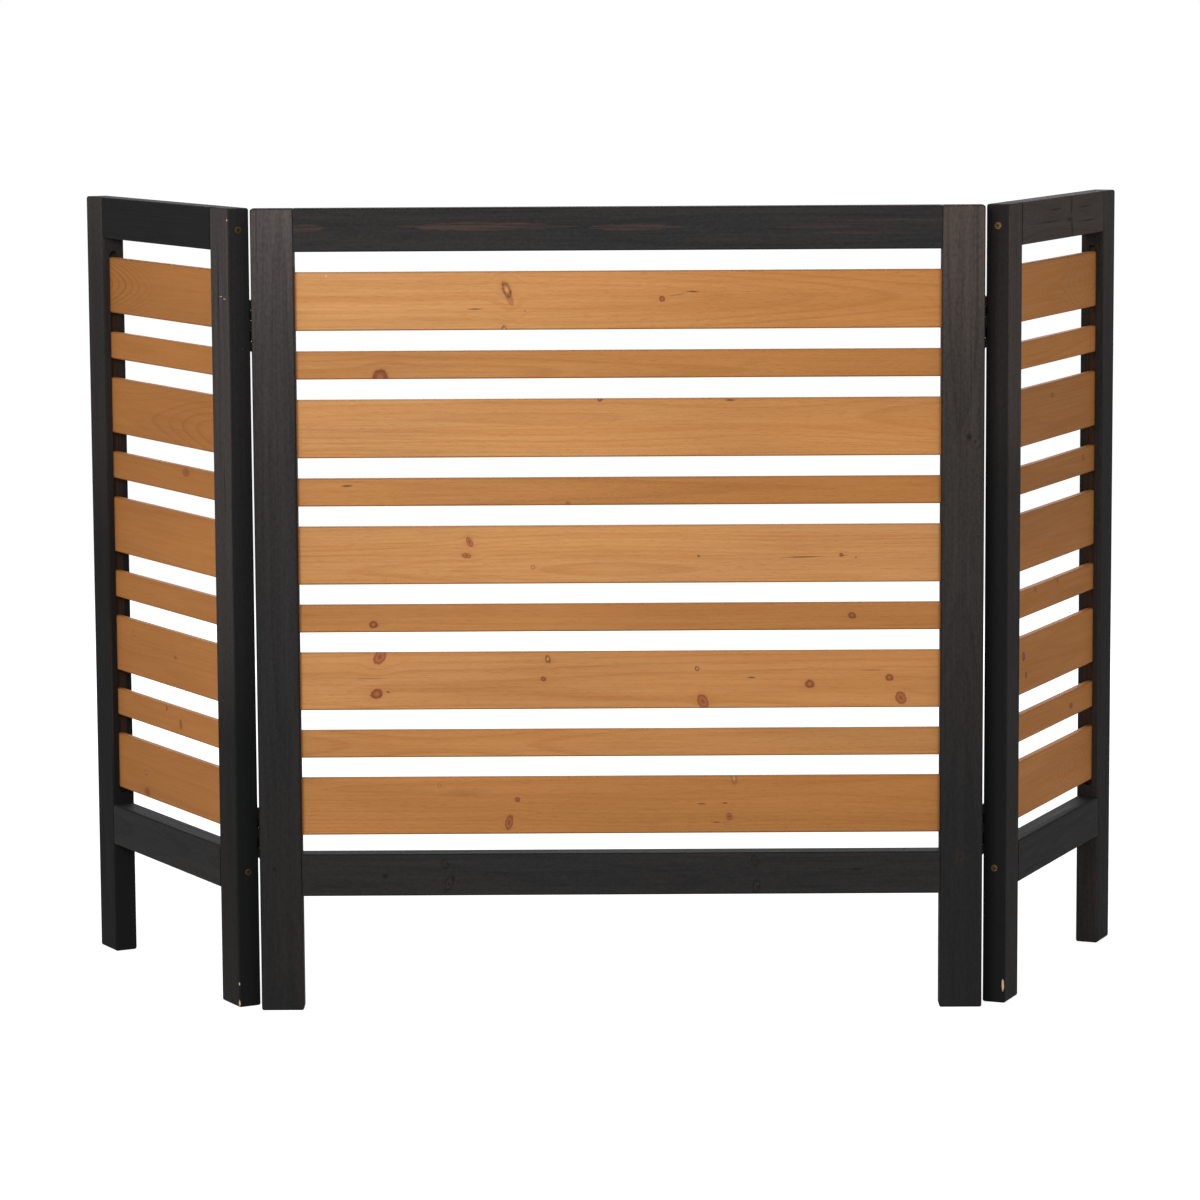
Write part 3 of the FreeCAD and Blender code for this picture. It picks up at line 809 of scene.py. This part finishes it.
def add_chips(g, board, place):
    """Where bare wood shows through a board's chips."""
    bare = 0.0
    for along_share, deep_share, across_share, *half in CHIP_SHARES.get(board.name, ()):
        spot = (along_share * board.half.x, deep_share * board.half.y, across_share * board.half.z)
        off = g.vector("SUBTRACT", place, spot)
        wobble = g.noise(off, scale=CHIP_SCALE, detail=2.0)
        length = g.add("ShaderNodeVectorMath", operation="LENGTH")
        g.feed(length.inputs[0], g.vector("DIVIDE", off, tuple(half)))
        reach = g.math("MULTIPLY_ADD", g.math("SUBTRACT", wobble, 0.5), 0.8, length.outputs["Value"])
        bare = g.math("MAXIMUM", bare, g.step(reach, 1.1, 0.8))
    return bare


def add_flames(g, board, place, flames):
    """How thin the stain is over a board's flames."""
    thin = 0.0
    for along_share, across_share, half_along, half_across, strength in flames:
        values = {
            "Place": place,
            "Spot": (along_share * board.half.x, 0.0, across_share * board.half.z),
            "Half Along": half_along,
            "Half Across": half_across,
            "Strength": strength,
            "Flame": thin,
        }
        thin = g.group(FLAME, **values)["Flame"]
    return thin


def assign(name, material):
    """Gives a solid of the frame this material alone."""
    slots = nodes[name].data.materials
    slots.clear()
    slots.append(material)


def grain_of(g, place, seed, figure, shift):
    """Grain of a board: figure gives the pith's place, the taper, the ring spacing and a swell."""
    pith, taper, spacing, swell_place, swell_length, swell = figure
    values = {
        "Place": place,
        "Seed": seed,
        "Pith": pith,
        "Taper": taper,
        "Spacing": spacing,
        "Shift": shift,
        "Swell Place": swell_place,
        "Swell Length": swell_length,
        "Swell": swell,
    }
    return g.group(GRAIN, **values)


def scaled(colour, share):
    """A colour made lighter or darker."""
    return (colour[0] * share, colour[1] * share, colour[2] * share, 1.0)


def brown_wood(board, seed, tone, pale, figure, ring_shares, knots, half_width):
    """Brown stained slat: clear grain, paler wood with a painted sheen, painted shade on its edges and
    ends, knots.
    """
    material, g, shader = start_material(board.name)
    place, normal = board_space(g, board)
    marks = add_knots(g, board, place, knots, half_width)
    grain = grain_of(g, place, seed, figure, marks["Shift"])
    along, _, _ = g.split(place)
    # Paler wood and a painted sheen, mixed in from one end of the slat to the other
    reach = PALE_AND_SHEEN_REACH_SHARE * half_width
    light = g.mix(g.step(along, -reach, reach, *pale), SLAT_DEEP, SLAT_PALE_AND_SHEEN)
    dark_ring = g.math("MULTIPLY", grain["Ring"], g.step(along, -reach, reach, *ring_shares))
    colour = g.mix(dark_ring, light, SLAT_RING)
    colour = g.mix(g.step(grain["Fibre"], 0.40, 0.72, 0.0, 0.34), colour, SLAT_FIBRE)
    colour = g.mix(g.step(grain["Band"], 0.40, 0.70, 0.0, 0.28), colour, SLAT_FIBRE)
    colour = g.mix(g.math("MULTIPLY", grain["Line"], 0.12), colour, SLAT_RING)
    # Painted shade on the rounded edges, strongest on the downward-facing ones
    _, _, tilt = g.split(normal)
    steep = g.math("ABSOLUTE", tilt)
    edge_shade = g.math("MULTIPLY", g.step(steep, 0.10, 0.55, 0.0, 0.70), g.step(steep, 0.99, 0.80, 0.25, 1.0))
    edge_shade = g.math("MULTIPLY", edge_shade, g.step(tilt, -0.10, 0.10, 1.0, 0.15))
    colour = g.mix(edge_shade, colour, SLAT_SHADE_AND_STAIN)
    # Painted shade where the slat meets the post, with the stain that gathers there
    end = g.step(g.math("ABSOLUTE", along), half_width - END_SHADE_AND_STAIN, half_width, 0.0, 0.75)
    colour = g.mix(end, colour, SLAT_SHADE_AND_STAIN)
    colour = g.mix(marks["Red"], colour, KNOT_RED)
    colour = g.mix(marks["Pale"], colour, KNOT_PALE)
    colour = g.mix(marks["Dark"], colour, KNOT_DARK)
    colour = g.mix(marks["Streak"], colour, STREAK_BROWN)
    shade = g.step(grain["Blotch"], 0.25, 0.75, 0.92 * tone, 1.07 * tone)
    colour = g.mix(1.0, colour, g.join(shade, shade, shade), "MULTIPLY")
    if board.name in CHIP_SHARES:
        colour = g.mix(add_chips(g, board, place), colour, CHIP_WOOD)
    g.feed(shader["Base Color"], colour)
    g.feed(shader["Roughness"], g.step(grain["Fibre"], 0.2, 0.8, 0.55, 0.72))
    g.feed(shader["Specular IOR Level"], SLAT_GLOSS)
    relief = g.math("MULTIPLY_ADD", grain["Line"], -0.5, grain["Fibre"])
    g.feed(shader["Normal"], g.bump(relief, SLAT_RELIEF))
    return material


def black_wood(board, seed, figure, flames=(), groove_side=0):
    """Black stained post or rail: streaky faces, narrow sides darker with denser stain and painted shade,
    a painted highlight up the posts, worn corners, brown wood darkened with painted shade in its groove.
    """
    material, g, shader = start_material(board.name)
    place, normal = board_space(g, board)
    along, deep, across = g.split(place)
    knots = FRAME_KNOT_SHARES.get(board.name, ())
    marks = add_knots(g, board, place, knots, board.half.x)
    grain = grain_of(g, place, seed, figure, marks["Shift"])
    tone = FRAME_TONE_SHARES.get(board.name, 1.0)
    mottle = g.noise(g.vector("MULTIPLY", place, PATTERN_SCALES["mottle"]), detail=3.0, roughness=0.6)
    worn = g.math("MULTIPLY_ADD", g.step(grain["Fibre"], 0.30, 0.75), 0.24, 0.46)
    worn = g.math("ADD", worn, g.step(grain["Band"], 0.30, 0.72, 0.0, 0.20))
    worn = g.math("ADD", worn, g.step(mottle, 0.30, 0.70, 0.0, 0.24))
    worn = g.math("MULTIPLY_ADD", grain["Ring"], -0.18, worn, clamp=True)
    lengthwise, facing, sideways = g.split(normal)
    upward = lengthwise if board.upright else sideways
    inner = g.math("GREATER_THAN", g.math("MULTIPLY", sideways, float(groove_side)), 0.5)
    # Broad faces show more of the lighter worn stain than the narrow sides: partly denser stain on the
    # sides, partly painted sheen on the faces. Inner sides by the openings get painted light, tops wear and
    # painted light.
    face_wear_and_light = g.step(g.math("ABSOLUTE", facing), 0.55, 0.95, 0.20, 1.0)
    face_wear_and_light = g.math("MAXIMUM", face_wear_and_light, g.math("MULTIPLY", inner, 0.60))
    face_wear_and_light = g.math("MAXIMUM", face_wear_and_light, g.step(upward, 0.3, 0.8, 0.0, TOP_WEAR_AND_LIGHT_SHARE))
    # Lighter stain that paints the highlight up the posts, and colours boards faded all over
    fade_and_highlight = scaled(FRAME_BROWN_FADE_AND_HIGHLIGHT if board.name in BROWNER_BOARDS else FRAME_FADE_AND_HIGHLIGHT, tone)
    foot = tone * FOOT_TONE_SHARES[board.panel] if board.upright else tone
    base = g.mix(g.step(grain["Blotch"], 0.35, 0.70), scaled(FRAME_WORN, foot), scaled(FRAME_WARM, foot))
    # Painted highlight: the posts grow lighter towards the top, where the light falls
    if board.upright:
        height = g.math("DIVIDE", g.math("ADD", along, board.half.x), 2.0 * board.half.x)
        base = g.mix(g.ramp(height, OWN_TOP_HIGHLIGHT_SHARES.get(board.name, TOP_HIGHLIGHT_SHARES)), base, fade_and_highlight)
    elif board.name in FADED_BOARDS:
        base = fade_and_highlight
    # Painted light on the inner side of these posts
    inner_light = INNER_LIGHT_SHARES.get(board.name)
    if inner_light:
        base = g.mix(inner, base, scaled(FRAME_WARM, inner_light))
    colour = g.mix(g.math("MULTIPLY", worn, face_wear_and_light), FRAME_DARK, base)
    if flames:
        thin = add_flames(g, board, place, flames)
        thin = g.math("MULTIPLY", thin, g.step(grain["Fibre"], 0.38, 0.62, 0.22, 1.0))
        colour = g.mix(g.math("MULTIPLY", thin, face_wear_and_light), colour, FRAME_BROWN)
    corner = g.step(g.math("ABSOLUTE", g.math("MULTIPLY", facing, sideways)), 0.22, 0.48)
    rubbed = g.step(grain["Band"], 0.56, 0.72, 0.0, 0.32)
    colour = g.mix(g.math("MULTIPLY", corner, rubbed), colour, FRAME_BROWN)
    colour = g.mix(g.math("MULTIPLY", marks["Red"], 0.30), colour, FRAME_BROWN)
    colour = g.mix(g.math("MULTIPLY", marks["Pale"], 0.40), colour, FRAME_BROWN)
    colour = g.mix(g.math("MAXIMUM", marks["Dark"], marks["Streak"]), colour, FRAME_DARK)
    # Bare brown wood inside the groove, darkened with painted shade
    if groove_side:
        inward = g.math("MULTIPLY", across, float(groove_side))
        sunk = g.math("LESS_THAN", inward, board.half.z - GROOVE_MARGIN)
        near = g.math("GREATER_THAN", inward, board.half.z - GROOVE_DEPTH - GROOVE_MARGIN)
        slim = g.math("LESS_THAN", g.math("ABSOLUTE", deep), GROOVE_WIDTH / 2 + GROOVE_MARGIN)
        wall = g.math("LESS_THAN", g.math("ABSOLUTE", lengthwise), 0.5)
        groove_shade = g.math("MULTIPLY", g.math("MULTIPLY", sunk, near), g.math("MULTIPLY", slim, wall))
        colour = g.mix(groove_shade, colour, scaled(SHADED_GROOVE_WOOD, GROOVE_LIGHT_SHARES.get(board.name, 1.0)))
    cells = g.add("ShaderNodeTexVoronoi", feature="F1")
    g.feed(cells.inputs["Vector"], place)
    g.feed(cells.inputs["Scale"], SPECKS_PER_METRE)
    speck = g.step(cells.outputs["Distance"], SPECK_RADIUS * SPECKS_PER_METRE, 0.0, 0.0, 0.75)
    colour = g.mix(speck, colour, SPECK_DUST)
    if board.name in CHIP_SHARES:
        colour = g.mix(add_chips(g, board, place), colour, CHIP_WOOD)
    g.feed(shader["Base Color"], colour)
    g.feed(shader["Roughness"], g.step(grain["Fibre"], 0.2, 0.8, 0.60, 0.78))
    g.feed(shader["Specular IOR Level"], FRAME_GLOSS)
    relief = g.math("MULTIPLY_ADD", grain["Line"], -0.5, grain["Fibre"])
    g.feed(shader["Normal"], g.bump(relief, FRAME_RELIEF))
    return material


def plain_metal(name, light, dark, rough, scale):
    """Metal with a cloudy finish and fine grit."""
    material, g, shader = start_material(name)
    place = g.add("ShaderNodeTexCoord").outputs["Object"]
    cloud = g.noise(place, scale=scale, detail=4.0, roughness=0.6)
    grit = g.noise(place, scale=scale * GRIT_SCALE_SHARE, detail=2.0)
    g.feed(shader["Base Color"], g.mix(g.step(cloud, 0.35, 0.70), light, dark))
    g.feed(shader["Metallic"], 1.0)
    g.feed(shader["Roughness"], g.step(cloud, 0.3, 0.7, *rough))
    g.feed(shader["Normal"], g.bump(grit, METAL_RELIEF))
    return material


def recess_shaded_zinc(name):
    """Yellow zinc screws, with painted shade in the cross of the head."""
    material, g, shader = start_material(name)
    place = g.add("ShaderNodeTexCoord").outputs["Object"]
    cloud = g.noise(place, scale=ZINC_CLOUD_SCALE, detail=4.0, roughness=0.6)
    # Painted shade in the recess of the head, where a point is enclosed
    open_share = g.add("ShaderNodeAmbientOcclusion", samples=8)
    g.feed(open_share.inputs["Distance"], RECESS_SHADE_REACH)
    unshaded = g.step(open_share.outputs["AO"], 0.45, 0.85)
    gold = g.mix(g.step(cloud, 0.35, 0.70), ZINC_YELLOW, ZINC_BROWN)
    g.feed(shader["Base Color"], g.mix(unshaded, ZINC_RECESS_SHADE, gold))
    g.feed(shader["Metallic"], g.math("MULTIPLY", unshaded, ZINC_METAL_SHARE))
    g.feed(shader["Roughness"], g.step(cloud, 0.3, 0.7, *ZINC_ROUGH))
    g.feed(shader["Specular IOR Level"], ZINC_GLOSS)
    g.feed(shader["Normal"], g.bump(cloud, ZINC_RELIEF))
    return material


def glinting_bronze(name, pin):
    """Dark bronzed leaf, with bright metal on its knuckles round the pin as a painted glint."""
    material, g, shader = start_material(name)
    place = g.add("ShaderNodeTexCoord").outputs["Object"]
    x, y, _ = g.split(g.vector("SUBTRACT", place, (pin[0], pin[1], 0.0)))
    reach = g.math("SQRT", g.math("ADD", g.math("POWER", x, 2.0), g.math("POWER", y, 2.0)))
    far_share, near_share = KNUCKLE_REACH_SHARES
    # Painted glint: bright metal on the knuckles round the pin
    glint_knuckle = g.step(reach, BARREL_RADIUS * far_share, BARREL_RADIUS * near_share)
    cloud = g.noise(place, scale=BRONZE_CLOUD_SCALE, detail=4.0, roughness=0.6)
    dark = g.mix(g.step(cloud, 0.35, 0.70), BRONZE_DARK, BRONZE_WORN)
    bright = g.mix(g.step(cloud, 0.35, 0.70), BRONZE_GLINT, BRONZE_WORN)
    g.feed(shader["Base Color"], g.mix(glint_knuckle, dark, bright))
    g.feed(shader["Metallic"], 1.0)
    rough = g.step(cloud, 0.3, 0.7, *LEAF_ROUGH)
    g.feed(shader["Roughness"], g.math("MULTIPLY_ADD", glint_knuckle, -0.20, rough))
    g.feed(shader["Normal"], g.bump(g.noise(place, scale=BRONZE_GRIT_SCALE), BRONZE_RELIEF))
    return material


def bare_wood(name):
    """Pale turned dowel, with grain along it."""
    material, g, shader = start_material(name)
    place = g.add("ShaderNodeTexCoord").outputs["Object"]
    fibre = g.noise(g.vector("MULTIPLY", place, DOWEL_SCALES), detail=3.0)
    g.feed(shader["Base Color"], g.mix(g.step(fibre, 0.3, 0.7), BARE_WOOD, BARE_RING))
    g.feed(shader["Roughness"], g.step(fibre, 0.3, 0.7, 0.55, 0.75))
    g.feed(shader["Normal"], g.bump(fibre, DOWEL_RELIEF))
    return material


def slat_count(panel, number):
    """A slat's place in the run of all slats."""
    return PANELS.index(panel) * SLATS_PER_PANEL + number


def slat_figure(panel, number, board):
    """How the grain runs on a slat. A few follow the photograph, the rest differ from slat to slat."""
    turns = {name: slat_count(panel, number) * pace for name, pace in SLAT_PACES.items()}
    depth = SLAT_PITH_DEPTH + SLAT_PITH_DEPTH_SPREAD * math.cos(turns["pith_depth"])
    across = SLAT_PITH_ACROSS_SHARE * math.sin(turns["pith_across"]) * board.half.z
    taper = SLAT_TAPER_SHARE * math.cos(turns["taper"])
    spacing = SLAT_RING_SPACING + SLAT_RING_SPACING_SPREAD * math.sin(turns["spacing"])
    swell = (
        SLAT_SWELL_PLACE_SHARE * math.sin(turns["swell_place"]) * board.half.x,
        SLAT_SWELL_LENGTH + SLAT_SWELL_LENGTH_SPREAD * math.cos(turns["swell_length"]),
        SLAT_SWELL_SPREAD * math.cos(turns["swell"]),
    )
    if (panel, number) in CATHEDRAL_SHARES:
        place_share, length, amount, across_share, taper, _ = CATHEDRAL_SHARES[(panel, number)]
        across = across_share * board.half.z
        depth = ARCH_PITH_DEPTH
        swell = (place_share * board.half.x, length, amount)
    return ((0.0, depth, across), taper, spacing, *swell)


def frame_figure(run, seed):
    """How the grain runs on a post or a rail, a little different on each."""
    pith = (0.0, run["pith_depth"], run["pith_across"] * math.sin(seed))
    swell_place = run["swell_place"] * math.sin(seed * run["swell_pace"])
    return (pith, run["taper"], run["spacing"], swell_place, run["swell_length"], run["swell"])


def dress_slats():
    """Every slat, with its own run of grain."""
    for panel in PANELS:
        half_width = Board(f"{panel}_top_rail", panel).half.x
        for number in range(1, SLATS_PER_PANEL + 1):
            board = Board(f"{panel}_slat_{number}", panel)
            material = brown_wood(
                board,
                seed=slat_count(panel, number) * SLAT_SEED_SHARE,
                tone=SLAT_TONE_SHARES[panel][number - 1],
                pale=SLAT_PALE_AND_SHEEN_SHARES[number - 1] if panel == "centre" else WING_PALE_AND_SHEEN_SHARES,
                figure=slat_figure(panel, number, board),
                ring_shares=CATHEDRAL_SHARES.get((panel, number), (RING_SHARES,))[-1],
                knots=SLAT_KNOT_SHARES[panel].get(number, ()),
                half_width=half_width,
            )
            assign(board.name, material)


def dress_frames():
    """Posts and rails of every panel."""
    for panel_number, panel in enumerate(PANELS):
        posts = POSTS[panel]
        for number, name in enumerate(posts):
            board = Board(name, panel, upright=True)
            seed = POST_RUN["first_seed"] + panel_number * len(posts) + number
            groove_side = 1 if number == 0 else -1
            assign(name, black_wood(board, seed, frame_figure(POST_RUN, seed), groove_side=groove_side))
        rails = (f"{panel}_top_rail", f"{panel}_bottom_rail")
        for number, name in enumerate(rails):
            board = Board(name, panel)
            seed = RAIL_RUN["first_seed"] + panel_number * len(rails) + number
            flames = FLAME_SHARES if name == "centre_top_rail" else ()
            assign(name, black_wood(board, seed, frame_figure(RAIL_RUN, seed), flames))


def dress_metal():
    """Screws, brads, dowels, hinge leaves and pins."""
    zinc = recess_shaded_zinc("yellow_zinc")
    bronze = plain_metal("bronzed_steel", BRONZE_DARK, BRONZE_WORN, BRONZE_ROUGH, BRONZE_CLOUD_SCALE)
    steel = plain_metal("bright_steel", STEEL_BRIGHT, STEEL_DULL, STEEL_ROUGH, STEEL_CLOUD_SCALE)
    bare = bare_wood("bare_wood")
    for panel in PANELS:
        assign(f"{panel}_rail_screws", zinc)
        assign(f"{panel}_hinge_screws", zinc)
        assign(f"{panel}_brads", steel)
        assign(f"{panel}_dowels", bare)
    for name in nodes:
        if name.endswith("_moving_leaf") or name == "hinge_pins":
            assign(name, bronze)
    for joint in frame["joints"]:
        # The fixed leaves carry the painted glint on their knuckles
        side = "left" if joint["child"] == "left_wing" else "right"
        rubbed = glinting_bronze(f"glinting_bronze_{side}", joint["pos_m"])
        for level in ("upper", "lower"):
            assign(f"{level}_{side}_hinge_fixed_leaf", rubbed)


def add_camera():
    """The photograph's camera."""
    data = bpy.data.cameras.new("camera")
    data.lens = CAMERA_LENS
    data.sensor_width = CAMERA_SENSOR
    camera = bpy.data.objects.new("camera", data)
    scene.collection.objects.link(camera)
    side = Vector((math.cos(CAMERA_YAW), -math.sin(CAMERA_YAW), 0.0))
    ahead = Vector((math.sin(CAMERA_YAW), math.cos(CAMERA_YAW), 0.0))
    upward = Vector((0.0, 0.0, 1.0))
    forward = math.cos(CAMERA_PITCH) * ahead - math.sin(CAMERA_PITCH) * upward
    upright = math.sin(CAMERA_PITCH) * ahead + math.cos(CAMERA_PITCH) * upward
    right = math.cos(CAMERA_ROLL) * side + math.sin(CAMERA_ROLL) * upright
    top = -math.sin(CAMERA_ROLL) * side + math.cos(CAMERA_ROLL) * upright
    axes = Matrix((right, top, -forward)).transposed().to_4x4()
    camera.matrix_world = Matrix.Translation(CAMERA_PLACE) @ axes
    scene.camera = camera


def seen_share(g):
    """1 for what the camera sees, directly or in a reflection, and 0 for what only lights the object."""
    path = g.add("ShaderNodeLightPath").outputs
    seen = g.math("MAXIMUM", path["Is Camera Ray"], path["Is Glossy Ray"])
    return g.math("MAXIMUM", seen, path["Is Transmission Ray"])


def add_world():
    """White surround, and a softer white light from all round."""
    world = bpy.data.worlds.new("studio")
    scene.world = world
    world.use_nodes = True
    g = Graph(world.node_tree)
    background = world.node_tree.nodes["Background"].inputs
    background["Color"].default_value = WHITE
    seen = seen_share(g)
    g.feed(background["Strength"], g.math("MULTIPLY_ADD", seen, 1.0 - AMBIENT_STRENGTH, AMBIENT_STRENGTH))


def add_floor():
    """Pale floor that keeps the shadow and runs into the white surround."""
    half = FLOOR_SIZE / 2
    mesh = bpy.data.meshes.new("floor")
    corners = [(-half, -half, 0.0), (half, -half, 0.0), (half, half, 0.0), (-half, half, 0.0)]
    mesh.from_pydata(corners, [], [(0, 1, 2, 3)])
    floor = bpy.data.objects.new("floor", mesh)
    scene.collection.objects.link(floor)
    material, g, shader = start_material("floor")
    g.feed(shader["Base Color"], FLOOR_COLOUR)
    g.feed(shader["Roughness"], FLOOR_ROUGH)
    g.feed(shader["Specular IOR Level"], 0.0)
    g.feed(shader["Emission Color"], WHITE)
    g.feed(shader["Emission Strength"], g.math("MULTIPLY", seen_share(g), FLOOR_GLOW))
    mesh.materials.append(material)


def add_lamp(name, place, size, power):
    """Soft rectangular lamp that faces the fence."""
    data = bpy.data.lights.new(name, "AREA")
    data.shape = "RECTANGLE"
    data.size = size[0]
    data.size_y = size[1]
    data.energy = power
    lamp = bpy.data.objects.new(name, data)
    lamp.location = place
    lamp.rotation_euler = (LOOK_AT - place).to_track_quat("-Z", "Y").to_euler()
    scene.collection.objects.link(lamp)


dress_slats()
dress_frames()
dress_metal()
add_camera()
add_world()
add_floor()
add_lamp("key", KEY_PLACE, KEY_SIZE, KEY_POWER)
add_lamp("fill", FILL_PLACE, FILL_SIZE, FILL_POWER)
add_lamp("back", BACK_PLACE, BACK_SIZE, BACK_POWER)
scene.view_settings.view_transform = "Standard"
